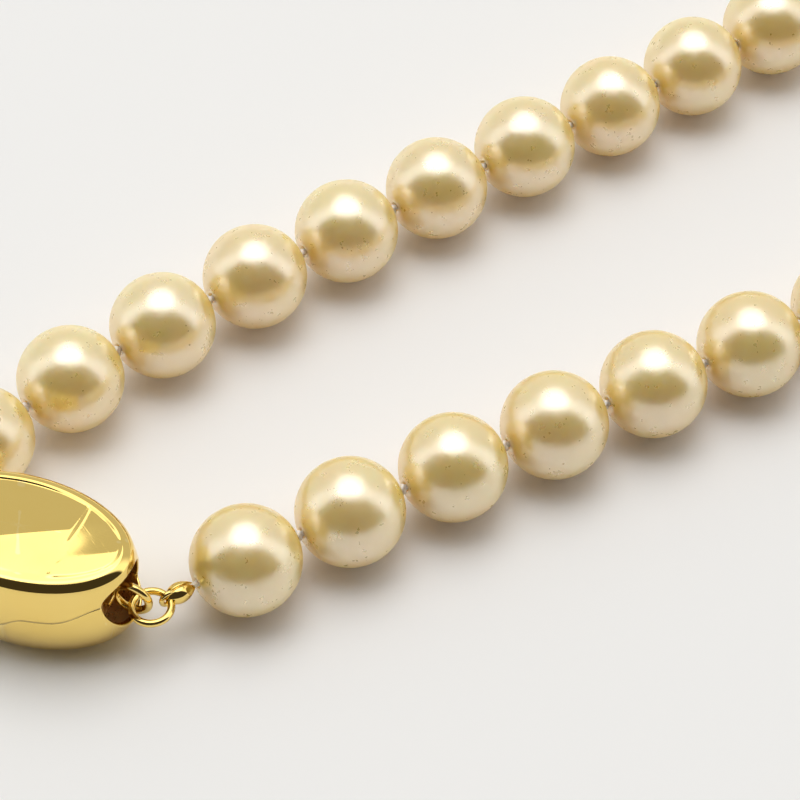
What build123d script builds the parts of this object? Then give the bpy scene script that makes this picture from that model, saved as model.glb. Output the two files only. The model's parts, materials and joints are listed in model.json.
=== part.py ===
from build123d import *
import os
from math import cos, radians, sin

os.makedirs("parts", exist_ok=True)

# A princess-cut choker of knotted round pearls on silk, closed by a hollow oval box clasp.
# Millimetres. +X runs along the two long strands, +Z is up, and the necklace lies on z = 0.

# ---- Driving dimensions ----
pearl_diameter = 8.0
pearls_each_side = 22  # from the clasp to the middle of the loop
drill_diameter = 0.8
thread_diameter = 0.5
knot_diameter = 1.0
knot_thickness = 0.32
knot_shoulder = 0.35  # radius of a knot's flat sides, as a share of its diameter
end_knot_diameter = 0.8
end_knot_set_back = 0.75  # the last knots, inside the bead tips, from the pearls' own

clasp_length = 17.7
clasp_width = 10.4
clasp_height = 8.7
clasp_equator = 4.2  # height of the widest section
clasp_rim = 8.3  # height of the edge round the top face
rim_inset = 0.6  # how far the edge stands in from the widest section
rim_roll = 0.3  # rounded width of the edge
seam_height = 5.1  # where the two shells meet
shell_wall = 0.5
flat_reach = 3.9  # half length of the flat that the underside's curve starts from
underside_trim = 0.05  # ground off it, so that it rests on a true flat
mouth_diameter = 5.2  # round opening in the tongue's end wall
mouth_height = 5.15
mouth_depth = 5.0  # how much of the clasp's length the opening's cut spans

eye_radius = 1.3  # eyes and rings: wire centreline
eye_wire = 0.3  # wire radius
ring_radius = 1.4
ring_wire = 0.28
hook_radius = 0.56  # bead tip's hook
hook_wire = 0.18
tip_length = 1.85  # bead tip's clamshell
tip_diameter = 1.5
tip_wall = 0.2
tip_slit = 0.08
tip_nose = 0.15  # how far a bead tip passes the first knot
tip_reach = 3.4  # from the middle of a ring to the first knot

tongue_height = 4.3  # middle of the sleeve, the tongue's eye and its ring
sleeve_width, sleeve_height, sleeve_wall = 3.2, 2.6, 0.3
sleeve_back, sleeve_front = -3.0, 6.6
foot_spot, foot_length, foot_width = 0.0, 2.0, 1.4  # under the sleeve, along the clasp
leaf_width, leaf_thickness = 2.3, 0.3
leaf_low = 3.65  # height of the tongue's lower leaf
leaf_fold, fold_rise = -1.8, 0.5
leaf_catch, leaf_catch_height = 4.2, 5.05  # the spring leaf's free end
leaf_step, leaf_step_run = 4.9, 0.8  # where the lower leaf rises to the eye
box_eye_stand = 1.2  # middle of the box's eye, past the blind end
tongue_eye_set_back = 0.65  # middle of the tongue's eye, inside the open end
thread_hole = 0.66

# ---- Layout ----
clasp_heading = -52.5  # degrees from +X to the clasp's tongue end
clasp_spot = (-30.6, 0.9)
right_ring_spot = (-24.8, -6.85)
# The knots lie on one smooth curve: out along the front strand, round the far end and
# back along the rear strand to the clasp's fixed end.
route_points = [
    (-21.35, -6.75),
    (-4.0, -7.2),
    (13.0, -8.4),
    (40.0, -10.2),
    (75.0, -11.6),
    (102.3, -13.0),
    (125.3, -13.6),
    (141.3, -7.4),
    (148.5, 7.0),
    (141.7, 21.6),
    (125.3, 28.6),
    (102.3, 27.0),
    (80.0, 22.6),
    (52.0, 18.6),
    (22.0, 17.3),
    (0.0, 16.7),
    (-16.0, 15.4),
    (-32.25, 12.2),
]

# ---- Worked out from those ----
pearl_radius = pearl_diameter / 2
pearl_count = 2 * pearls_each_side
axis_height = pearl_radius
knot_count = pearl_count + 1


def heading(degrees_from_x):
    """A level unit vector."""
    return Vector(cos(radians(degrees_from_x)), sin(radians(degrees_from_x)), 0)


with BuildLine() as route:
    Spline(*route_points)
curve = route.edge()


def knots_at(pitch):
    """Steps along the curve, each knot one pitch from the last. Also gives the length left over."""
    reach, here = 0.0, curve.position_at(0, position_mode=PositionMode.LENGTH)
    found = [here]
    for _ in range(knot_count - 1):
        near, far = reach, reach + 1.5 * pitch
        for _ in range(30):
            middle = (near + far) / 2
            there = curve.position_at(middle, position_mode=PositionMode.LENGTH)
            near, far = (middle, far) if (there - here).length < pitch else (near, middle)
        reach, here = near, curve.position_at(near, position_mode=PositionMode.LENGTH)
        found.append(here)
    return found, curve.length - reach


# The pitch that brings the last knot to the end of the curve, found by halving.
pitch_low, pitch_high = pearl_diameter + 0.3, pearl_diameter + 0.7
for _ in range(18):
    knot_pitch = (pitch_low + pitch_high) / 2
    route_knots, left_over = knots_at(knot_pitch)
    pitch_low, pitch_high = (knot_pitch, pitch_high) if left_over > 0 else (pitch_low, knot_pitch)

# The origin is below the middle of the whole necklace.
pearl_spots = [(a + b) / 2 for a, b in zip(route_knots, route_knots[1:])]
clasp_axis = heading(clasp_heading)
left_eye_spot = Vector(*clasp_spot) - clasp_axis * (clasp_length / 2 + box_eye_stand)
left_end = left_eye_spot.X - abs(clasp_axis.X) * eye_radius - eye_wire
right_end = max(spot.X for spot in pearl_spots) + pearl_radius
front_side = min(spot.Y for spot in pearl_spots) - pearl_radius
back_side = max(spot.Y for spot in pearl_spots) + pearl_radius
origin_shift = Vector(-(left_end + right_end) / 2, -(front_side + back_side) / 2, 0)


def spot(x, y, z=0.0):
    """A point of the layout, in the necklace's own frame."""
    return Vector(x, y, z) + origin_shift


knots = [spot(k.X, k.Y, axis_height) for k in route_knots]
pearl_axes = [(b - a).normalized() for a, b in zip(knots, knots[1:])]
pearl_centres = [(a + b) / 2 for a, b in zip(knots, knots[1:])]

clasp_frame = Plane(origin=spot(*clasp_spot), x_dir=clasp_axis, z_dir=(0, 0, 1))


def clasp_point(along, across, height):
    """A point given along, across and above the clasp."""
    return clasp_frame.from_local_coords(Vector(along, across, height))


tongue_eye_along = clasp_length / 2 - tongue_eye_set_back
tongue_eye_centre = clasp_point(tongue_eye_along, 0, tongue_height)
box_eye_along = -(clasp_length / 2 + box_eye_stand)
box_eye_centre = clasp_point(box_eye_along, 0, axis_height)

# Right: the tongue's eye, one ring, then the bead tip at the first knot.
right_ring_centre = spot(*right_ring_spot, axis_height)
right_axis = (knots[0] - right_ring_centre).normalized()
right_ring_centre = knots[0] - right_axis * tip_reach
right_hook_centre = right_ring_centre + right_axis * ring_radius

# Left: the box's eye, two rings in a row, then the bead tip at the last knot.
left_start = box_eye_centre - clasp_axis * eye_radius  # the eye's outer wire
left_axis = (knots[-1] - left_start).normalized()
left_slack = (knots[-1] - left_start).length - tip_reach - ring_radius
left_ring_centre = left_start + left_axis * (left_slack / 2)
link_centre = knots[-1] - left_axis * tip_reach
left_hook_centre = link_centre + left_axis * ring_radius
link_pivot = left_ring_centre + left_axis * ring_radius


# ---- Pearls: each one a drilled ball on its own stretch of thread ----
def make_pearl(number, centre, axis):
    with BuildPart() as pearl:
        with Locations(Plane(origin=centre, x_dir=(0, 0, 1), z_dir=axis)):
            Sphere(pearl_radius)
            Cylinder(drill_diameter / 2, 2 * pearl_diameter, mode=Mode.SUBTRACT)
    pearl.part.label = f"pearl_{number:02d}"
    export_step(pearl.part, f"parts/pearl_{number:02d}.step")
    return pearl


pearls = [
    make_pearl(i + 1, centre, axis)
    for i, (centre, axis) in enumerate(zip(pearl_centres, pearl_axes))
]


# ---- Silk thread: one strand through every pearl, knotted between them ----
# At each end it runs straight on and stops in a knot inside the bead tip.
thread_start = knots[0] - pearl_axes[0] * end_knot_set_back
thread_end = knots[-1] + pearl_axes[-1] * end_knot_set_back
thread_corners = [thread_start, *knots[1:-1], thread_end]
thread_runs = list(zip(thread_corners, thread_corners[1:]))
knot_axes = [(after + before).normalized() for before, after in zip(pearl_axes, pearl_axes[1:])]
knot_crown = knot_thickness / 4  # half the width of a knot's outermost band
end_knots = [(thread_start, pearl_axes[0]), (thread_end, pearl_axes[-1])]
knot_places = [(corner, axis, knot_diameter) for corner, axis in zip(knots[1:-1], knot_axes)]
knot_places += [(corner, axis, end_knot_diameter) for corner, axis in end_knots]

with BuildPart() as silk_thread:
    for start, end in thread_runs:
        run = end - start
        with Locations(Plane(origin=(start + end) / 2, x_dir=(-run.Y, run.X, -run.length), z_dir=run)):
            Cylinder(thread_diameter / 2, run.length - knot_thickness / 2)
    for corner, axis, diameter in knot_places:
        with BuildSketch(Plane(origin=corner, x_dir=axis, z_dir=axis.cross(Vector(0, 0, 1)))):
            with BuildLine():
                Polyline(
                    (-knot_thickness / 2, 0),
                    (-knot_thickness / 2, knot_shoulder * diameter),
                    (-knot_crown, diameter / 2),
                    (knot_crown, diameter / 2),
                    (knot_thickness / 2, knot_shoulder * diameter),
                    (knot_thickness / 2, 0),
                    close=True,
                )
            make_face()
        revolve(axis=Axis(corner, axis))
silk_thread.part.label = "silk_thread"
export_step(silk_thread.part, "parts/silk_thread.step")


# ---- Clasp shells: an oval hollow body, its top face held in a rolled edge ----
half_length = clasp_length / 2
inner_half = half_length - shell_wall
rim_reach = half_length - rim_inset

with BuildPart() as clasp_form:
    with BuildSketch(Plane.XZ):
        with BuildLine():
            Line((0, -underside_trim), (flat_reach, -underside_trim))
            EllipticalCenterArc(
                (flat_reach, clasp_equator), half_length - flat_reach,
                clasp_equator + underside_trim, 270,
            )
            TangentArc((half_length, clasp_equator), (rim_reach, clasp_rim - rim_roll), tangent=(0, 1))
            Line((rim_reach, clasp_rim - rim_roll), (rim_reach - rim_roll, clasp_rim))
            TangentArc((0, clasp_height), (rim_reach - rim_roll, clasp_rim), tangent=(1, 0))
            Line((0, clasp_height), (0, -underside_trim))
        make_face()
    revolve(axis=Axis.Z)
    scale(by=(1, clasp_width / clasp_length, 1))

with BuildPart() as clasp_cavity:
    with BuildSketch(Plane.XZ):
        with BuildLine():
            Line((0, shell_wall), (flat_reach, shell_wall))
            EllipticalCenterArc(
                (flat_reach, clasp_equator), inner_half - flat_reach, clasp_equator - shell_wall, 270
            )
            TangentArc(
                (inner_half, clasp_equator), (rim_reach - shell_wall, clasp_rim - shell_wall),
                tangent=(0, 1),
            )
            TangentArc(
                (0, clasp_height - shell_wall), (rim_reach - shell_wall, clasp_rim - shell_wall),
                tangent=(1, 0),
            )
            Line((0, clasp_height - shell_wall), (0, shell_wall))
        make_face()
    revolve(axis=Axis.Z)
    scale(by=(1, clasp_width / clasp_length, 1))

with BuildPart() as clasp_body:
    add(clasp_form.part)
    add(clasp_cavity.part, mode=Mode.SUBTRACT)
    split(bisect_by=Plane.XY, keep=Keep.TOP)

mouth = Plane(origin=clasp_point(half_length, 0, mouth_height), z_dir=clasp_axis)

with BuildPart() as clasp_top_shell:
    with Locations(clasp_frame):
        add(clasp_body.part)
    split(bisect_by=Plane.XY.offset(seam_height), keep=Keep.TOP)
    with Locations(mouth):
        Cylinder(mouth_diameter / 2, mouth_depth, mode=Mode.SUBTRACT)
clasp_top_shell.part.label = "clasp_top_shell"
export_step(clasp_top_shell.part, "parts/clasp_top_shell.step")

with BuildPart() as clasp_bottom_shell:
    with Locations(clasp_frame):
        add(clasp_body.part)
    split(bisect_by=Plane.XY.offset(seam_height), keep=Keep.BOTTOM)
    with Locations(mouth):
        Cylinder(mouth_diameter / 2, mouth_depth, mode=Mode.SUBTRACT)
clasp_bottom_shell.part.label = "clasp_bottom_shell"
export_step(clasp_bottom_shell.part, "parts/clasp_bottom_shell.step")


# ---- Eyes and rings ----
def make_ring(name, centre, normal, radius, wire):
    with BuildPart() as ring:
        with Locations(Plane(origin=centre, z_dir=normal)):
            Torus(radius, wire)
    ring.part.label = name
    export_step(ring.part, f"parts/{name}.step")
    return ring


up = Vector(0, 0, 1)
across_clasp = clasp_frame.y_dir

# The box's own eye is soldered to the blind end of the shells.
with BuildPart() as box_eye:
    with Locations(Plane(origin=box_eye_centre, z_dir=across_clasp)):
        Torus(eye_radius, eye_wire)
    with Locations(clasp_frame):
        add(clasp_form.part, mode=Mode.SUBTRACT)
box_eye.part.label = "box_eye"
export_step(box_eye.part, "parts/box_eye.step")


# ---- Catch sleeve: the open box inside the shells that the tongue slides into ----
sleeve_middle = (sleeve_back + sleeve_front) / 2
sleeve_length = sleeve_front - sleeve_back
sleeve_floor = tongue_height - sleeve_height / 2

with BuildPart() as catch_sleeve:
    with Locations(clasp_frame):
        with Locations((sleeve_middle, 0, tongue_height)):
            Box(sleeve_length, sleeve_width, sleeve_height)
        with Locations((sleeve_middle + sleeve_wall, 0, tongue_height)):
            Box(
                sleeve_length,
                sleeve_width - 2 * sleeve_wall,
                sleeve_height - 2 * sleeve_wall,
                mode=Mode.SUBTRACT,
            )
        with Locations((foot_spot, 0, (sleeve_floor + shell_wall) / 2)):
            Box(foot_length, foot_width, sleeve_floor - shell_wall)
catch_sleeve.part.label = "catch_sleeve"
export_step(catch_sleeve.part, "parts/catch_sleeve.step")

# ---- Tongue: a folded spring leaf, and the eye soldered to its outer end ----
tongue_eye = make_ring("tongue_eye", tongue_eye_centre, across_clasp, eye_radius, eye_wire)

with BuildPart() as tongue:
    with BuildSketch(Plane(origin=clasp_point(0, 0, 0), x_dir=clasp_axis, z_dir=-across_clasp)):
        with BuildLine():
            Polyline(
                (leaf_catch, leaf_catch_height),
                (leaf_fold, leaf_low + fold_rise),
                (leaf_fold, leaf_low),
                (leaf_step, leaf_low),
                (leaf_step + leaf_step_run, tongue_height),
                (tongue_eye_along - eye_radius, tongue_height),
            )
            offset(amount=leaf_thickness / 2)
        make_face()
    extrude(amount=leaf_width / 2, both=True)
    add(tongue_eye.part, mode=Mode.SUBTRACT)
tongue.part.label = "tongue"
export_step(tongue.part, "parts/tongue.step")

# ---- Jump rings ----
make_ring("jump_ring_right", right_ring_centre, up, ring_radius, ring_wire)
make_ring("jump_ring_left", left_ring_centre, up, ring_radius, ring_wire)
make_ring("link_ring_left", link_centre, left_axis.cross(up), ring_radius, ring_wire)


# ---- Bead tips: a split clamshell over the end knot, and a hook round the last ring ----
def make_bead_tip(name, knot, axis, hook_centre, hook_normal):
    shell_middle = knot + axis * (tip_nose - tip_length / 2)
    profile = Plane(origin=shell_middle, x_dir=axis, z_dir=hook_normal)
    with BuildPart() as tip:
        with Locations(Plane(origin=hook_centre, x_dir=hook_normal.cross(axis), z_dir=hook_normal)):
            Torus(hook_radius, hook_wire)
        for inset, mode in ((0, Mode.ADD), (tip_wall, Mode.SUBTRACT)):
            with BuildSketch(profile):
                Ellipse(tip_length / 2 - inset, tip_diameter / 2 - inset)
                with Locations((0, -tip_diameter / 2)):
                    Rectangle(tip_length, tip_diameter, mode=Mode.SUBTRACT)
            revolve(axis=Axis(shell_middle, axis), mode=mode)
        with Locations(Plane(origin=shell_middle + axis * tip_length / 2, z_dir=axis)):
            Cylinder(thread_hole / 2, tip_length / 2, mode=Mode.SUBTRACT)
        with Locations(profile):
            with Locations((tip_wall, 0, 0)):
                Box(tip_length, tip_diameter * 2, tip_slit, mode=Mode.SUBTRACT)
    tip.part.label = name
    export_step(tip.part, f"parts/{name}.step")
    return tip


bead_tip_right = make_bead_tip(
    "bead_tip_right", knots[0], right_axis, right_hook_centre, right_axis.cross(up)
)
bead_tip_left = make_bead_tip("bead_tip_left", knots[-1], left_axis, left_hook_centre, up)

print(f"knot pitch {knot_pitch:.4f}, turn at the sharpest knot", end=" ")
print(f"{max(a.get_angle(b) for a, b in zip(pearl_axes, pearl_axes[1:])):.1f} degrees")
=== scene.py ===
"""A knotted pearl necklace with a polished oval box clasp, lying on a pale table."""

import json
import math

import bpy
import numpy as np
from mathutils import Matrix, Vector, noise


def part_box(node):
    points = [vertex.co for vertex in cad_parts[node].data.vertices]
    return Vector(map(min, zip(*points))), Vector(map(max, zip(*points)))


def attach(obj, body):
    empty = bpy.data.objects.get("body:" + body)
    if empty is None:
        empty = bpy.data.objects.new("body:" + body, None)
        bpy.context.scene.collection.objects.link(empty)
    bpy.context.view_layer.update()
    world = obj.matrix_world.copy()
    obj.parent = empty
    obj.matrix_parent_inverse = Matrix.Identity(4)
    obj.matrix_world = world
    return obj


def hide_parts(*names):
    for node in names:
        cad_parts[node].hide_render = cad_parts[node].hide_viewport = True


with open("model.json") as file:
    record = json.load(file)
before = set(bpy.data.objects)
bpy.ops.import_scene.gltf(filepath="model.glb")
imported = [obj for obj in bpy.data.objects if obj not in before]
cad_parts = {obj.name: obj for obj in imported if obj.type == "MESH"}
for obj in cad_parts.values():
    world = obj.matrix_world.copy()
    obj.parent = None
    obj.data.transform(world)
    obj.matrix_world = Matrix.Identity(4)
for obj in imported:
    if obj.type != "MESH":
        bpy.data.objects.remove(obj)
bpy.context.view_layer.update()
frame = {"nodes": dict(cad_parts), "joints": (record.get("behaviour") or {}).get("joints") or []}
scene = bpy.context.scene
joints = frame["joints"]
MM = 0.001
UP = Vector((0, 0, 1))

# ---- Camera: set over the first pearls of the front strand, looking down and along the strands ----
CAMERA_HEADING = 32.0  # degrees from +Y towards +X that it looks along the ground
CAMERA_ELEVATION = 49.81
CAMERA_DISTANCE = 205.97 * MM
CAMERA_LENS = 124.94
AIM_FROM_FIRST_PEARL = Vector((17.1, 6.8, 0)) * MM


def centre_of(node):
    low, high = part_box(node)
    return (low + high) / 2


def ground(angle):
    """A level unit vector, angle degrees from +Y towards +X."""
    return Vector((math.sin(math.radians(angle)), math.cos(math.radians(angle)), 0))


AWAY = ground(CAMERA_HEADING)
RIGHT = ground(CAMERA_HEADING + 90)
aim = centre_of("pearl_01") + AIM_FROM_FIRST_PEARL
tilt = math.radians(CAMERA_ELEVATION)
to_camera = UP * math.sin(tilt) - AWAY * math.cos(tilt)
camera = bpy.data.objects.new("camera", bpy.data.cameras.new("camera"))
scene.collection.objects.link(camera)
camera.data.lens = CAMERA_LENS
camera.data.sensor_width = 36.0
camera.data.clip_start = 10 * MM
camera.location = aim + to_camera * CAMERA_DISTANCE
camera.rotation_mode = "QUATERNION"
camera.rotation_quaternion = (-to_camera).to_track_quat("-Z", "Y")
scene.camera = camera
scene.view_settings.view_transform = "Standard"


# ---- Node helpers ----
class Tree:
    """Short hand for building a node tree."""

    def __init__(self, tree):
        self.tree = tree
        tree.nodes.clear()

    def add(self, kind, links=None, **settings):
        node = self.tree.nodes.new(kind)
        for key, value in settings.items():
            setattr(node, key, value)
        for key, value in (links or {}).items():
            self.put(node.inputs[key], value)
        return node

    def put(self, socket, value):
        if isinstance(value, bpy.types.NodeSocket):
            self.tree.links.new(value, socket)
        else:
            socket.default_value = value

    def math(self, operation, *values):
        node = self.add("ShaderNodeMath", operation=operation)
        for i, value in enumerate(values):
            self.put(node.inputs[i], value)
        return node.outputs[0]

    def mix(self, factor, a, b):
        node = self.add("ShaderNodeMix", data_type="RGBA")
        self.put(node.inputs["Factor"], factor)
        self.put(node.inputs[6], a)
        self.put(node.inputs[7], b)
        return node.outputs[2]

    def span(self, value, low, high, to_low=0.0, to_high=1.0):
        """A smooth step from one number to another as the value goes from low to high."""
        node = self.add("ShaderNodeMapRange", interpolation_type="SMOOTHSTEP")
        for key, given in (
            ("Value", value), ("From Min", low), ("From Max", high),
            ("To Min", to_low), ("To Max", to_high),
        ):
            self.put(node.inputs[key], given)
        return node.outputs[0]

    def noise(self, where, scale, detail=2.0, roughness=0.5):
        node = self.add("ShaderNodeTexNoise")
        self.put(node.inputs["Vector"], where)
        node.inputs["Scale"].default_value = scale
        node.inputs["Detail"].default_value = detail
        node.inputs["Roughness"].default_value = roughness
        return node.outputs["Fac"]

    def bump(self, height, distance, normal=None):
        node = self.add("ShaderNodeBump")
        self.put(node.inputs["Height"], height)
        node.inputs["Distance"].default_value = distance
        node.inputs["Strength"].default_value = 1.0
        if normal is not None:
            self.put(node.inputs["Normal"], normal)
        return node.outputs["Normal"]


def rgb(r, g, b):
    return (r, g, b, 1.0)


def new_material(name):
    material = bpy.data.materials.new(name)
    material.use_nodes = True
    tree = Tree(material.node_tree)
    shader = tree.add("ShaderNodeBsdfPrincipled")
    out = tree.add("ShaderNodeOutputMaterial")
    tree.put(out.inputs["Surface"], shader.outputs[0])
    where = tree.add("ShaderNodeTexCoord").outputs["Object"]
    return material, tree, shader, where


# ---- Nacre ----
def make_nacre():
    material, t, shader, where = new_material("nacre")
    tint = t.add("ShaderNodeAttribute", attribute_name="tint", attribute_type="GEOMETRY")
    parts = t.add("ShaderNodeSeparateColor", {"Color": tint.outputs["Color"]})
    warmth, blush, ends = (parts.outputs[i] for i in range(3))
    cloud = t.noise(where, 260.0, 3.0, 0.55)
    fine = t.noise(where, 1100.0, 3.0, 0.6)
    cream = t.mix(warmth, rgb(1.0, 0.63, 0.19), rgb(0.99, 0.56, 0.14))
    patchy = t.mix(t.span(cloud, 0.35, 0.65, 0.0, 0.4), cream, rgb(0.97, 0.75, 0.32))
    rosy = t.math("MULTIPLY", blush, t.span(cloud, 0.62, 0.4, 0.0, 0.6))
    blushed = t.mix(rosy, patchy, rgb(0.96, 0.66, 0.34))
    flecked = t.mix(t.span(fine, 0.58, 0.74, 0.0, 0.15), blushed, rgb(0.98, 0.84, 0.50))
    # Painted shade: the pearl's ends and bore turn a deeper golden, standing in for the shade between pearls.
    end_shaded = t.mix(t.math("MULTIPLY", ends, 0.6), flecked, rgb(0.88, 0.56, 0.10))
    t.put(shader.inputs["Base Color"], end_shaded)
    shader.inputs["Metallic"].default_value = 0.0
    t.put(shader.inputs["Roughness"], t.span(fine, 0.3, 0.7, 0.27, 0.33))
    shader.inputs["IOR"].default_value = 5.0
    shader.inputs["Specular Tint"].default_value = (1.0, 0.98, 0.93, 1.0)
    shader.inputs["Coat Weight"].default_value = 0.4
    shader.inputs["Coat Roughness"].default_value = 0.2
    shader.inputs["Coat IOR"].default_value = 1.5
    shader.inputs["Subsurface Weight"].default_value = 1.0
    shader.inputs["Subsurface Radius"].default_value = (1.0, 0.8, 0.4)
    shader.inputs["Subsurface Scale"].default_value = 7.0 * MM
    grain = t.bump(fine, 2.5e-6)
    wave = t.bump(t.noise(where, 480.0, 2.0, 0.5), 1.6e-5, normal=grain)
    t.put(shader.inputs["Normal"], wave)
    t.put(shader.inputs["Coat Normal"], grain)
    return material


# ---- Gold ----
def make_gold(name, wear):
    material, t, shader, where = new_material(name)
    cloud = t.noise(where, 300.0, 3.0, 0.5)
    edge = t.add("ShaderNodeNewGeometry").outputs["Pointiness"]
    base = t.mix(cloud, rgb(0.93, 0.67, 0.19), rgb(0.96, 0.72, 0.24))
    # Paler gold on the sharp convex edges, where Pointiness is high.
    pale_edged = t.mix(t.span(edge, 0.52, 0.62, 0.0, 0.5), base, rgb(1.0, 0.81, 0.38))
    t.put(shader.inputs["Base Color"], pale_edged)
    shader.inputs["Metallic"].default_value = 1.0
    t.put(shader.inputs["Roughness"], t.span(cloud, 0.3, 0.7, 0.035, 0.035 + wear))
    ripple = t.bump(t.noise(where, 190.0, 1.0), 8e-6)
    scratch_place = t.add("ShaderNodeMapping")
    t.put(scratch_place.inputs["Vector"], where)
    scratch_place.inputs["Rotation"].default_value = (0.3, 0.2, 0.9)
    scratch_place.inputs["Scale"].default_value = (6000.0, 300.0, 900.0)
    scratches = t.noise(scratch_place.outputs[0], 1.0, 2.0)
    scratch_depth = 8e-7 * (1 + 8 * wear)
    t.put(shader.inputs["Normal"], t.bump(t.span(scratches, 0.62, 0.8), scratch_depth, normal=ripple))
    return material


# ---- Silk ----
def make_silk():
    material, t, shader, where = new_material("silk")
    fibre = t.noise(where, 9000.0, 2.0)
    soft = t.noise(where, 900.0, 2.0)
    pale = t.mix(fibre, rgb(0.93, 0.91, 0.84), rgb(0.98, 0.97, 0.94))
    shaded = t.mix(t.span(soft, 0.4, 0.7, 0.0, 0.4), pale, rgb(0.80, 0.68, 0.45))
    t.put(shader.inputs["Base Color"], shaded)
    t.put(shader.inputs["Roughness"], t.span(fibre, 0.3, 0.7, 0.4, 0.6))
    shader.inputs["Sheen Weight"].default_value = 0.4
    shader.inputs["Sheen Roughness"].default_value = 0.4
    shader.inputs["Subsurface Weight"].default_value = 0.3
    shader.inputs["Subsurface Radius"].default_value = (1.0, 0.8, 0.6)
    shader.inputs["Subsurface Scale"].default_value = 0.3 * MM
    t.put(shader.inputs["Normal"], t.bump(fibre, 8e-6))
    return material


nacre = make_nacre()
polished_gold = make_gold("polished_gold", 0.02)
wire_gold = make_gold("wire_gold", 0.10)
silk = make_silk()


def make_painted_bounce_gold():
    """The unpolished gold inside the box, with painted bounce light: its deeper orange colour stands in for
    light reflected many times between the gold walls.
    """
    material, t, shader, where = new_material("painted_bounce_gold")
    cloud = t.noise(where, 1500.0, 3.0, 0.6)
    t.put(shader.inputs["Base Color"], t.mix(cloud, rgb(0.98, 0.50, 0.12), rgb(1.0, 0.76, 0.33)))
    shader.inputs["Metallic"].default_value = 0.5
    t.put(shader.inputs["Roughness"], t.span(cloud, 0.3, 0.7, 0.22, 0.42))
    t.put(shader.inputs["Normal"], t.bump(cloud, 6e-5))
    return material


painted_bounce_gold = make_painted_bounce_gold()


# ---- Mesh helpers ----
def grid_object(name, rows, material, wrap_rows=False, poles=(False, False)):
    """A closed skin over rows of points that wrap round, with a point at either end if asked for."""
    rows = np.asarray(rows, float)
    count, columns = rows.shape[:2]
    points = rows.reshape(-1, 3).tolist()
    faces = []
    for i in range(count if wrap_rows else count - 1):
        here, there = i * columns, ((i + 1) % count) * columns
        for j in range(columns):
            k = (j + 1) % columns
            faces.append((here + j, here + k, there + k, there + j))
    if poles[0]:
        points.append(rows[0].mean(0).tolist())
        faces += [((j + 1) % columns, j, len(points) - 1) for j in range(columns)]
    if poles[1]:
        points.append(rows[-1].mean(0).tolist())
        last = (count - 1) * columns
        faces += [(last + j, last + (j + 1) % columns, len(points) - 1) for j in range(columns)]
    mesh = bpy.data.meshes.new(name)
    mesh.from_pydata(points, [], faces)
    mesh.validate()
    mesh.polygons.foreach_set("use_smooth", [True] * len(mesh.polygons))
    mesh.materials.append(material)
    piece = bpy.data.objects.new(name, mesh)
    scene.collection.objects.link(piece)
    return piece


def tube_rows(path, radius, sides, closed=False, twist=0.0, lobes=0, lobe_depth=0.0, squash=None):
    """Rows of a tube along a path of points. Lobes give the section the look of twisted plies."""
    path = [Vector(p) for p in path]
    count = len(path)
    rows, side = [], None
    for i, here in enumerate(path):
        before = path[i - 1] if closed or i else path[0]
        after = path[(i + 1) % count] if closed or i < count - 1 else path[-1]
        along = (after - before).normalized()
        if side is None:
            side = along.orthogonal().normalized()
        side = (side - along * side.dot(along)).normalized()
        other = along.cross(side)
        reach = radius(i / (count - 1)) if callable(radius) else radius
        row = []
        for j in range(sides):
            angle = 2 * math.pi * j / sides
            r = reach
            if lobes:
                r *= 1 - lobe_depth * abs(math.sin(lobes / 2 * (angle - twist * i)))
            row.append(here + side * (r * math.cos(angle)) + other * (r * math.sin(angle)))
        rows.append(row)
    return rows


def seeded(number, salt):
    """A steady fraction from 0 to 1."""
    value = math.sin(number * 127.1 + salt * 311.7) * 43758.5453
    return value - math.floor(value)


# ---- Pearls ----
PEARL_RADIUS = 4.04 * MM
BEND_PEARLS, BEND_RADIUS = range(18, 27), 3.97 * MM  # round the far bend, where they swing closest
DRILL_RADIUS = 0.4 * MM
DRILL_FLARE = 1.35  # the skin starts this far out from the bore, as a share of the bore's angle
DRILL_SINK, DRILL_SINK_WIDTH = 0.02, 0.035  # the skin dips at the bore, in shares of the radius
BORE_REACH = 0.975  # the bore's end rings, as a share of the way to the skin's first ring
PEARL_RINGS, PEARL_COLUMNS, BORE_RINGS = 64, 84, 6
LONGEST_AXIS, AXIS_SPREAD = 1.003, 0.008  # how far from round a pearl is
SWELLS = ((0.0035, 1.6), (0.0016, 4.5))  # height and frequency of the skin's swells
NOISE_SPREAD = 50  # how far apart the pearls sample the noise
FEWEST_DIMPLES, MORE_DIMPLES = 2, 3
DIMPLE_SIZE, DIMPLE_DEPTH = (0.06, 0.07), (0.004, 0.005)  # the least, and how much more
DIMPLE_REACH = 2  # where a dimple stops, in sizes
WARMTH, BLUSH = (0.15, 0.7), (0.1, 0.8)
END_SHADE_GAIN, END_SHADE_START = 1.9, 0.9  # where the painted shade starts: a deeper golden colour on the ends that face the next pearls, strongest at the bore


def knot_before(n):
    """The joint's place at the knot that a pearl hangs from."""
    found = [j for j in joints if j["child"] == f"pearl_{n:02d}"]
    return Vector(found[0]["pos_m"])


def between(least_and_more, share):
    least, more = least_and_more
    return least + more * share


def outward(lean, turn):
    """The direction that leans so far from the bore and stands at this turn round it."""
    return Vector((math.cos(lean), math.sin(lean) * math.cos(turn), math.sin(lean) * math.sin(turn)))


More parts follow.
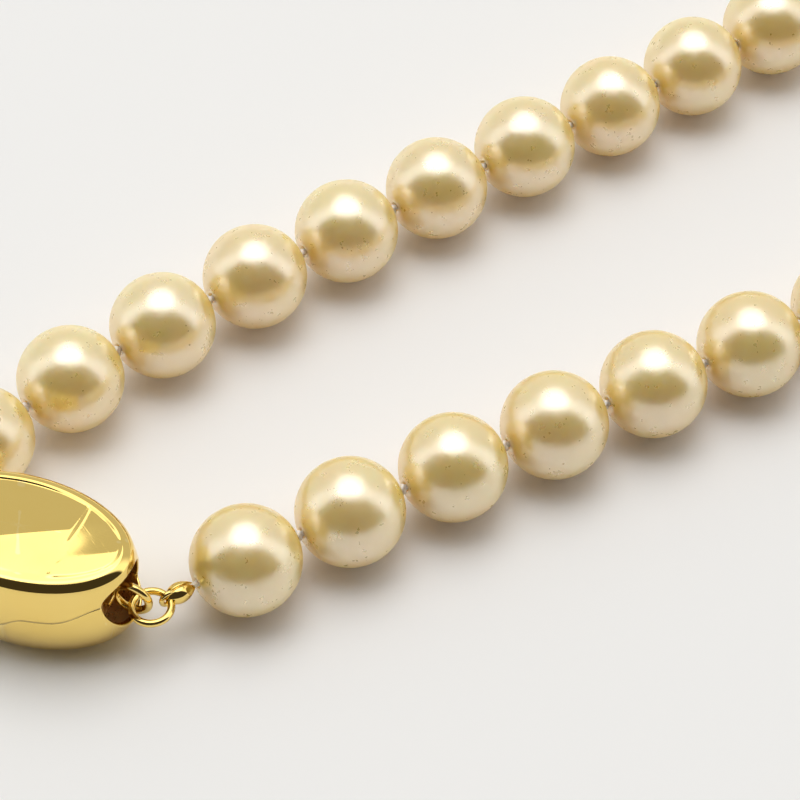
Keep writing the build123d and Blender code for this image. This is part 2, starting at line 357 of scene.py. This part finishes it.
def make_pearl(n):
    """One pearl's skin and bore, with a swell and dimples of its own. Each draw has its own salt."""
    centre = centre_of(f"pearl_{n:02d}")
    axis = (centre - knot_before(n)).normalized()
    side = axis.cross(UP).normalized()
    up = side.cross(axis)
    radius = BEND_RADIUS if n in BEND_PEARLS else PEARL_RADIUS
    start = math.asin(DRILL_RADIUS / radius) * DRILL_FLARE
    stretch = Vector([LONGEST_AXIS - AXIS_SPREAD * seeded(n, k) for k in (1, 2, 3)])
    seed = Vector((seeded(n, 4), seeded(n, 5), seeded(n, 6))) * NOISE_SPREAD
    dimples = []
    for k in range(FEWEST_DIMPLES + int(MORE_DIMPLES * seeded(n, 7))):
        turn = 2 * math.pi * seeded(n, 10 + k)
        lean = math.acos(1.6 * seeded(n, 20 + k) - 0.8)
        size, depth = between(DIMPLE_SIZE, seeded(n, 30 + k)), between(DIMPLE_DEPTH, seeded(n, 40 + k))
        dimples.append((outward(lean, turn), size, depth))
    rows, tints = [], []
    warmth, blush = between(WARMTH, seeded(n, 8)), between(BLUSH, seeded(n, 9))
    for i in range(PEARL_RINGS):
        lean = start + (math.pi - 2 * start) * i / (PEARL_RINGS - 1)
        row = []
        for j in range(PEARL_COLUMNS):
            turn = 2 * math.pi * j / PEARL_COLUMNS
            out = outward(lean, turn)
            reach = 1 + sum(high * noise.noise(out * often + seed) for high, often in SWELLS)
            for spot, size, depth in dimples:
                apart = (out - spot).length / size
                if apart < DIMPLE_REACH:
                    reach -= depth * math.exp(-2 * apart * apart)
            reach -= DRILL_SINK * math.exp(-(math.sin(lean) - math.sin(start)) / DRILL_SINK_WIDTH)
            p = Vector((out.x * stretch.x, out.y * stretch.y, out.z * stretch.z)) * (radius * reach)
            row.append(centre + axis * p.x + side * p.y + up * p.z)
            # The third channel is painted shade: a deeper golden colour on the pearl's ends, where the next
            # pearls shade it.
            tints.append((warmth, blush, max(0.0, abs(out.x) * END_SHADE_GAIN - END_SHADE_START) ** 2, 1.0))
        rows.append(row)
    for i in range(BORE_RINGS):
        along = radius * math.cos(start) * BORE_REACH * (-1 + 2 * i / (BORE_RINGS - 1))
        row = []
        for j in range(PEARL_COLUMNS):
            turn = 2 * math.pi * j / PEARL_COLUMNS
            row.append(centre + axis * along + (side * math.cos(turn) + up * math.sin(turn)) * DRILL_RADIUS)
            # The bore takes the full painted shade.
            tints.append((1.0, 0.0, 1.0, 1.0))
        rows.append(row)
    piece = grid_object(f"nacre_{n:02d}", rows, nacre, wrap_rows=True)
    colours = piece.data.color_attributes.new("tint", "FLOAT_COLOR", "POINT")
    colours.data.foreach_set("color", np.asarray(tints, np.float32).ravel())
    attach(piece, f"pearl_{n:02d}")
    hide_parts(f"pearl_{n:02d}")
    return piece


PEARLS = 44
for number in range(1, PEARLS + 1):
    make_pearl(number)


# ---- Silk: a knot before each pearl, and the stretch of thread that the pearl is strung on ----
THREAD_RADIUS = 0.25 * MM
KNOT_RADIUS = 0.30 * MM
KNOT_PLY, KNOT_DEPTH = 0.17 * MM, 0.10 * MM
KNOT_POINTS, THREAD_STEPS = 60, 40
KNOT_TURN_SALT = 900  # a knot's turn about the thread follows its place
TIP_KNOT_SIZE, TIP_KNOT_BACK = 0.7, 0.75 * MM  # the end knots, tucked into the bead tips
MIDDLE_TAIL = 0.2 * MM


def knot_path(place, axis, size, turn):
    """The line of a small tightened overhand knot about an axis."""
    side = axis.cross(UP).normalized()
    up = side.cross(axis)
    line = []
    for i in range(KNOT_POINTS):
        a = 2 * math.pi * i / KNOT_POINTS
        x, y = math.sin(a) + 2 * math.sin(2 * a), math.cos(a) - 2 * math.cos(2 * a)
        x, y = x * math.cos(turn) - y * math.sin(turn), x * math.sin(turn) + y * math.cos(turn)
        line.append(place + (side * x + up * y) * (size / 3) - axis * (math.sin(3 * a) * KNOT_DEPTH))
    return line


def make_silk_piece(name, knot, axis, start, end, body, size=KNOT_RADIUS):
    """A three-ply thread from start to end, with one knot on it."""
    thread = tube_rows(
        [start + (end - start) * (i / THREAD_STEPS) for i in range(THREAD_STEPS + 1)],
        THREAD_RADIUS, 18, twist=0.35, lobes=3, lobe_depth=0.16,
    )
    piece = grid_object(name, thread, silk, poles=(True, True))
    turn = seeded(len(name), knot.x * KNOT_TURN_SALT)
    windings = tube_rows(knot_path(knot, axis, size, turn), KNOT_PLY, 14, closed=True)
    loop = grid_object(name + "_loop", windings, silk, wrap_rows=True)
    with bpy.context.temp_override(active_object=piece, selected_editable_objects=[piece, loop]):
        bpy.ops.object.join()
    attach(piece, body)
    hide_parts("silk_thread")
    return piece


for number in range(1, PEARLS + 1):
    pearl_centre, knot = centre_of(f"pearl_{number:02d}"), knot_before(number)
    half = pearl_centre - knot
    at_tip = number in (1, PEARLS)
    axis = half.normalized()
    start = knot - axis * (TIP_KNOT_BACK if at_tip else 0.0)
    make_silk_piece(
        f"silk_{number:02d}", start, axis, start, pearl_centre + half,
        f"pearl_{number:02d}", KNOT_RADIUS * (TIP_KNOT_SIZE if at_tip else 1.0),
    )
middle = centre_of("pearl_22") * 2 - knot_before(22)
middle_axis = (centre_of("pearl_23") - centre_of("pearl_22")).normalized()
make_silk_piece(
    "silk_middle", middle, middle_axis,
    middle - middle_axis * MIDDLE_TAIL, middle + middle_axis * MIDDLE_TAIL, "pearl_22",
)

# ---- Clasp: an oval hollow body whose top is folded into a slow swirl, in millimetres ----
HALF_LENGTH, HALF_WIDTH = 8.85, 5.2
RATIO = HALF_WIDTH / HALF_LENGTH
FLAT = 5.4  # half length of the flat underside
EQUATOR, WALL_TOP = 4.2, 7.95
WALL_LEAN = 0.42
ROLL, ROLL_END = 1.0, 84  # the rolled edge's radius, and the angle that it turns to
SHELL = 0.45
TOP_REACH = HALF_LENGTH - WALL_LEAN - ROLL + 0.12
TOP_STEP, TOP_CROWN = 0.10, 0.14
LENGTH_OVER_WIDTH = HALF_LENGTH - HALF_WIDTH
MOUTH_HALF_ANGLE = 33.0
MOUTH_LOW, MOUTH_HIGH = 2.55, 7.75
MOUTH_COLUMNS, WALL_COLUMNS = 61, 232
SEAM_HEIGHT, SEAM_MIRROR = 5.15, 9.4  # the far side's seam is the near side's, turned over
SEAM_AT_MOUTH, SEAM_DIP, SEAM_AT_END = 1.1, 1.4, 0.9
LIP_AT_MOUTH, LIP_AT_SEAM = 0.10, 0.035
LIP_DROP_AT_MOUTH, LIP_DROP_AT_SEAM = 0.5, 0.2  # how far a lip slopes, as a share of its width
LIP_SPAN, SHELL_SPAN = 8.0, 8.3  # the reach that a lip and the shell's thickness are a share of
CEILING = 8.0
CREASE, CREASE_LEAN = 3.62, 0.24
MIDDLE_RIDGE, END_RIDGE = (-1.1, 0.52), (-4.845, 0.66)  # where a ridge crosses the middle, and its slope
SCOOP_SLOPE, SCOOP_REACH, SCOOP_EASE = 0.10, 3, 16
BEFORE_RIDGE = 0.011  # how fast the top rounds down before a ridge
EYE_SET_BACK = 0.65

slide = [j for j in joints if j["name"] == "tongue_slide"][0]
ALONG = Vector(slide["axis"]).normalized()
ACROSS = UP.cross(ALONG)
eye_middle = centre_of("tongue_eye")
# The clasp's middle: the eye stands on its long axis, a known reach from the middle.
CLASP_ORIGIN = Vector((eye_middle.x, eye_middle.y, 0)) - ALONG * ((HALF_LENGTH - EYE_SET_BACK) * MM)


def clasp_world(x, y, z):
    return CLASP_ORIGIN + ALONG * (x * MM) + ACROSS * (y * MM) + UP * (z * MM)


def mouth_columns():
    """Angles of the skin's columns, crowded towards the mouth's two corners."""
    turns = np.linspace(-90, 90, MOUTH_COLUMNS)
    inside = [MOUTH_HALF_ANGLE * math.sin(math.radians(u)) for u in turns]
    outside = list(np.linspace(MOUTH_HALF_ANGLE, 360 - MOUTH_HALF_ANGLE, WALL_COLUMNS)[1:-1])
    return [math.radians(a) for a in inside + outside]


COLUMNS = mouth_columns()


def signed(angle):
    """The angle from the tongue's end, from -180 to 180 degrees."""
    return (math.degrees(angle) + 180) % 360 - 180


def smooth(x, low, high):
    s = min(1.0, max(0.0, (x - low) / (high - low)))
    return s * s * (3 - 2 * s)


def seam(angle):
    """Height of the wavy line where the shells meet."""
    a = abs(signed(angle))
    rise = SEAM_HEIGHT + SEAM_AT_MOUTH * (1 - smooth(a, 34, 62))
    rise += SEAM_AT_END * smooth(a, 100, 150) - SEAM_DIP * smooth(a, 74, 92)
    return rise if signed(angle) <= 0 else SEAM_MIRROR - rise


def mouth_edges(angle):
    """Heights of the mouth's upper and lower edge at this angle, or None outside it."""
    share = signed(angle) / MOUTH_HALF_ANGLE
    if abs(share) > 1 - 1e-9:
        return None
    round_off = math.sqrt(1 - share * share)
    corner = seam(angle)
    return corner + (MOUTH_HIGH - corner) * round_off, corner - (corner - MOUTH_LOW) * round_off


def wall(z):
    """Half length of the body at a height, as the section's widest reach."""
    if z < EQUATOR:
        return FLAT + (HALF_LENGTH - FLAT) * math.sqrt(max(0.0, 1 - (1 - z / EQUATOR) ** 2))
    return HALF_LENGTH - WALL_LEAN * ((z - EQUATOR) / (WALL_TOP - EQUATOR)) ** 2


def crease_x(y):
    """How far along the clasp the end flute starts."""
    return CREASE + CREASE_LEAN * smooth(y, -2.6, 2.4)


def flute(x, y, ridge):
    """Height across a flute: level at its ridge, scooped behind it and gently rounded before it."""
    foot, slope = ridge
    d = (y - foot - slope * x) / math.hypot(1, slope)
    if d > 0:
        scoop = SCOOP_REACH * (1 - math.exp(-d / SCOOP_REACH))
        ease = SCOOP_REACH / SCOOP_EASE * (1 - math.exp(-SCOOP_EASE * d / SCOOP_REACH))
        return -SCOOP_SLOPE * (scoop - ease)
    return -BEFORE_RIDGE * d * d


def swirl(x, y):
    """Height of the folded top: a middle flute, and one at either end that turns under it."""
    middle = flute(x, y, MIDDLE_RIDGE)
    sign = 1 if x > 0 else -1
    u, v = x * sign, y * sign
    width = 0.26 + 0.9 * (1 - smooth(v, -2.2, 0.6))
    share = smooth(u - crease_x(v), -width / 2, width / 2)
    return middle * (1 - share) + flute(u, v, END_RIDGE) * share


def top_height(x, y, edge_height):
    """Height of the top face, which eases into the rolled edge."""
    e = math.hypot(x / TOP_REACH, y / (TOP_REACH - LENGTH_OVER_WIDTH))
    near = smooth(-y, 0.5, 2.5)
    free = 1 - smooth(e, 0.985 - 0.055 * near, 1.0)
    crown = edge_height + TOP_STEP + TOP_CROWN * (1 - e * e)
    return crown + swirl(x, y) * free - TOP_STEP * (1 - free)


def outer_profile(angle, z_from, rows_wall, rows_roll, rows_top):
    """Points up the wall from a height, over the rolled edge and in to the middle of the top."""
    c, s = math.cos(angle), math.sin(angle)
    line = []
    for i in range(rows_wall):
        z = z_from + (WALL_TOP - z_from) * i / (rows_wall - 1)
        r = wall(z)
        line.append((r * c, r * RATIO * s, z))
    r0 = wall(WALL_TOP)
    lean = math.atan(2 * WALL_LEAN / (WALL_TOP - EQUATOR))
    ax, ay = r0 * c, r0 * RATIO * s
    # The roll is an arc in the upright plane across the edge.
    nx, ny = c, s / RATIO
    n = math.hypot(nx, ny)
    nx, ny = nx / n, ny / n
    for i in range(1, rows_roll + 1):
        a = lean + (math.radians(ROLL_END) - lean) * i / rows_roll
        inward = ROLL * (math.cos(lean) - math.cos(a))
        rise = ROLL * (math.sin(a) - math.sin(lean))
        line.append((ax - nx * inward, ay - ny * inward, WALL_TOP + rise))
    ex, ey, ez = line[-1]
    for i in range(1, rows_top):
        k = (1 - i / rows_top) ** 0.9
        x, y = ex * k, ey * k
        line.append((x, y, top_height(x, y, ez)))
    return line


def lip_edge(point, at_mouth, down):
    """The shell's turned edge inside a skin point, sloping down or up."""
    x, y, z = point
    lip = LIP_AT_MOUTH if at_mouth else LIP_AT_SEAM
    k = 1 - lip / LIP_SPAN
    drop = lip * (LIP_DROP_AT_MOUTH if at_mouth else LIP_DROP_AT_SEAM)
    return x * k, y * k, z - drop if down else z + drop


def inner_wall(point, far, rows, lowest=0.0):
    """Rows of the shell's inside from beside a skin point to the height far."""
    x, y, z = point
    k = 1 - SHELL / SHELL_SPAN
    line = [(x * k, y * k, z)]
    for i in range(1, rows + 1):
        high = z + (far - z) * i / rows
        reach = wall(min(max(lowest, high), WALL_TOP)) / wall(z)
        line.append((x * k * reach, y * k * reach, high))
    return line


def make_top_shell():
    wall_rows, ceiling_rows = 6, 10
    columns = []
    for angle in COLUMNS:
        edges = mouth_edges(angle)
        skin = outer_profile(angle, edges[0] if edges else seam(angle), 16, 12, 66)
        inside = inner_wall(skin[0], CEILING, wall_rows)
        x, y, _ = inside[-1]
        for i in range(1, ceiling_rows):
            k = 1 - i / ceiling_rows
            inside.append((x * k, y * k, CEILING + 0.02 * i / ceiling_rows))
        columns.append(list(reversed(inside)) + [lip_edge(skin[0], edges, True)] + skin)
    rows = np.array(columns).transpose(1, 0, 2)
    return finish_shell("clasp_top_skin", rows, "clasp_top_shell", (0, len(inside) - 1))


def lower_skin(angle, z_edge):
    """Points down the wall from its edge, over the round lower side and in under the clasp."""
    steps, straight = 30, 0.3  # rows, and the share of them above the equator
    c, s = math.cos(angle), math.sin(angle)
    turn = math.acos(max(-1.0, min(1.0, 1 - z_edge / EQUATOR)))
    line = []
    for i in range(steps):
        share = i / (steps - 1)
        if z_edge <= EQUATOR:
            z = EQUATOR * (1 - math.cos(turn * (1 - share)))
        elif share < straight:
            z = z_edge + (EQUATOR - z_edge) * share / straight
        else:
            z = EQUATOR * (1 - math.cos(math.pi / 2 * (1 - (share - straight) / (1 - straight))))
        r = wall(z)
        line.append((r * c, r * RATIO * s, z))
    for i in range(1, 8):
        k = 1 - i / 8
        line.append((FLAT * c * k, FLAT * RATIO * s * k, 0.0))
    return line


def make_bottom_shell():
    wall_rows, floor_rows, lowest = 8, 7, 0.25
    columns = []
    for angle in COLUMNS:
        edges = mouth_edges(angle)
        skin = lower_skin(angle, edges[1] if edges else seam(angle))
        inside = inner_wall(skin[0], SHELL, wall_rows, lowest)
        x, y, _ = inside[-1]
        for i in range(1, floor_rows):
            k = 1 - i / floor_rows
            inside.append((x * k, y * k, SHELL))
        columns.append(list(reversed(skin)) + [lip_edge(skin[0], edges, False)] + inside)
    rows = np.array(columns).transpose(1, 0, 2)
    return finish_shell("clasp_bottom_skin", rows, "clasp_bottom_shell", (len(skin) + 1, len(rows) - 1))


def finish_shell(name, rows, node, inner_rows):
    """The shell's object. Its inner rows of faces take the gold with painted bounce light."""
    world = [[clasp_world(*point) for point in row] for row in rows]
    piece = grid_object(name, world, polished_gold, poles=(True, True))
    piece.data.materials.append(painted_bounce_gold)
    low, high = (i * rows.shape[1] for i in inner_rows)
    for face in piece.data.polygons[low:high]:
        face.material_index = 1
    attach(piece, "clasp")
    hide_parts(node)
    return piece


make_top_shell()
make_bottom_shell()

# ---- Bead tips: two almond halves closed over the end knot, and a hook round the ring ----
TIP_LENGTH, TIP_RADIUS = 2.45 * MM, 0.74 * MM
TIP_GAP = 0.05 * MM
TIP_START, HOOK_REACH = 0.12 * MM, 1.4 * MM  # past the knot, and from the ring's middle
HOOK_RADIUS, HOOK_WIRE = 0.56 * MM, 0.19 * MM
HOOK_FROM, HOOK_TURN, HOOK_STEPS = -8, 336, 40
TIP_ROWS, ROUND_COLUMNS, FLAT_COLUMNS = 34, 20, 8
TIP_FLAT = 0.02  # the split face's height, as a share of the radius there


def half_almond(start, axis, out, side):
    """Rows of one half of the almond, on the out side of the split."""
    rows = []
    for i in range(1, TIP_ROWS):
        s = i / TIP_ROWS
        reach = TIP_RADIUS * math.sin(math.pi * s ** 0.92) ** 0.72
        gape = TIP_GAP * (0.5 + 1.6 * s * s)
        row = []
        for j in range(ROUND_COLUMNS + FLAT_COLUMNS):
            if j < ROUND_COLUMNS:
                a = math.pi * j / (ROUND_COLUMNS - 1)
                x = math.cos(a) * reach
                z = math.sin(a) * reach * (1 - TIP_FLAT) + TIP_FLAT * reach
            else:
                a = (j - ROUND_COLUMNS + 1) / (FLAT_COLUMNS + 1)
                x, z = -reach * 0.985 * (1 - 2 * a), -TIP_FLAT * reach
            row.append(start + axis * (TIP_LENGTH * s) + side * x + out * (z + gape))
        rows.append(row)
    return rows


def make_bead_tip(name, ring, knot, hook_normal, node, body):
    """A bead tip whose almond ends at the knot and whose hook holds the ring."""
    ring_middle = centre_of(ring)
    axis = (knot - ring_middle).normalized()
    side = hook_normal.cross(axis).normalized()
    start = knot + axis * (TIP_START - TIP_LENGTH)
    ends = (True, True)
    piece = grid_object(name, half_almond(start, axis, hook_normal, side), wire_gold, poles=ends)
    lower = half_almond(start, axis, -hook_normal, -side)
    other = grid_object(name + "_b", lower, wire_gold, poles=ends)
    hook_middle = ring_middle + axis * HOOK_REACH
    line = [start + axis * (0.5 * MM), start + axis * (0.2 * MM)]
    for i in range(HOOK_STEPS + 1):
        a = math.radians(HOOK_FROM + HOOK_TURN * i / HOOK_STEPS)
        line.append(hook_middle + (axis * math.cos(a) + side * math.sin(a)) * HOOK_RADIUS)
    hook = grid_object(name + "_c", tube_rows(line, HOOK_WIRE, 16), wire_gold, poles=ends)
    with bpy.context.temp_override(active_object=piece, selected_editable_objects=[piece, other, hook]):
        bpy.ops.object.join()
    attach(piece, body)
    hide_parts(node)


right_axis = (knot_before(1) - centre_of("jump_ring_right")).normalized()
make_bead_tip(
    "almond_tip_right", "jump_ring_right", knot_before(1), right_axis.cross(UP), "bead_tip_right", "tip_right"
)
make_bead_tip("almond_tip_left", "link_ring_left", knot_before(PEARLS), UP, "bead_tip_left", "tip_left")

# ---- Findings that keep their CAD shape ----
for node in (
    "box_eye", "catch_sleeve", "tongue", "tongue_eye",
    "jump_ring_right", "jump_ring_left", "link_ring_left",
):
    piece = frame["nodes"][node]
    piece.data.materials.clear()
    # The catch sleeve, inside the box, takes the gold with painted bounce light.
    piece.data.materials.append(painted_bounce_gold if node == "catch_sleeve" else wire_gold)
    piece.data.polygons.foreach_set("use_smooth", [True] * len(piece.data.polygons))

# ---- Table ----
TABLE_REACH, TABLE_CELLS, TABLE_DROP = 3.0, 24, 0.02 * MM


def make_table():
    material, t, shader, where = new_material("table")
    cloud = t.noise(where, 9.0, 3.0)
    t.put(shader.inputs["Base Color"], t.mix(cloud, rgb(0.865, 0.86, 0.85), rgb(0.885, 0.88, 0.87)))
    t.put(shader.inputs["Roughness"], t.span(cloud, 0.3, 0.7, 0.5, 0.6))
    shader.inputs["Specular IOR Level"].default_value = 0.2
    mesh = bpy.data.meshes.new("table")
    n = TABLE_CELLS
    places = [TABLE_REACH * (2 * i / n - 1) for i in range(n + 1)]
    points = [(x, y, -TABLE_DROP) for y in places for x in places]
    faces = [
        (j * (n + 1) + i, j * (n + 1) + i + 1, (j + 1) * (n + 1) + i + 1, (j + 1) * (n + 1) + i)
        for j in range(n) for i in range(n)
    ]
    mesh.from_pydata(points, [], faces)
    mesh.materials.append(material)
    table = bpy.data.objects.new("table", mesh)
    scene.collection.objects.link(table)


make_table()

# ---- Light: one wide softbox overhead in a light room, with the dark camera side before it ----
SOFTBOX_HEIGHT, SOFTBOX_BACK = 1.2, 0.41
SOFTBOX_SIZE = (1.25, 1.45)
SOFTBOX_RADIANCE = 1.15
GLOW_SIZE, GLOW_RADIANCE = (0.80, 0.85), 2.0  # its bright middle


def make_lamp(name, size, radiance):
    light = bpy.data.lights.new(name, "AREA")
    light.shape = "ELLIPSE"
    light.size, light.size_y = size
    light.energy = radiance * math.pi * size[0] * size[1] * math.pi / 4
    lamp = bpy.data.objects.new(name, light)
    lamp.location = aim + AWAY * SOFTBOX_BACK + UP * SOFTBOX_HEIGHT
    lamp.rotation_euler = (0, 0, -math.radians(CAMERA_HEADING))
    lamp.visible_camera = False
    scene.collection.objects.link(lamp)


def make_light():
    make_lamp("softbox", SOFTBOX_SIZE, SOFTBOX_RADIANCE)
    make_lamp("softbox_middle", GLOW_SIZE, GLOW_RADIANCE)
    world = bpy.data.worlds.new("room")
    scene.world = world
    world.use_nodes = True
    t = Tree(world.node_tree)
    direction = t.add("ShaderNodeTexCoord").outputs["Generated"]
    height = t.add("ShaderNodeSeparateXYZ", {"Vector": direction}).outputs["Z"]

    def towards(heading):
        dot = t.add("ShaderNodeVectorMath", operation="DOT_PRODUCT")
        t.put(dot.inputs[0], direction)
        dot.inputs[1].default_value = heading
        return dot.outputs["Value"]

    back, side = towards(AWAY), t.math("ABSOLUTE", towards(RIGHT))
    behind = t.span(back, 0.1, 0.45)
    curved = t.math("ADD", back, t.math("MULTIPLY", side, 0.12))
    before = t.math("MULTIPLY", t.span(curved, 0.0, -0.16), t.span(height, 0.01, 0.08))
    walls = t.mix(behind, rgb(1.38, 1.38, 1.37), rgb(0.62, 0.61, 0.58))
    lit = t.mix(t.span(height, 0.10, 0.0), walls, rgb(1.2, 1.19, 1.17))
    room = t.mix(before, lit, rgb(0.05, 0.042, 0.034))
    shader = t.add("ShaderNodeBackground", {"Color": room, "Strength": 1.0})
    out = t.add("ShaderNodeOutputWorld")
    t.put(out.inputs["Surface"], shader.outputs[0])


make_light()
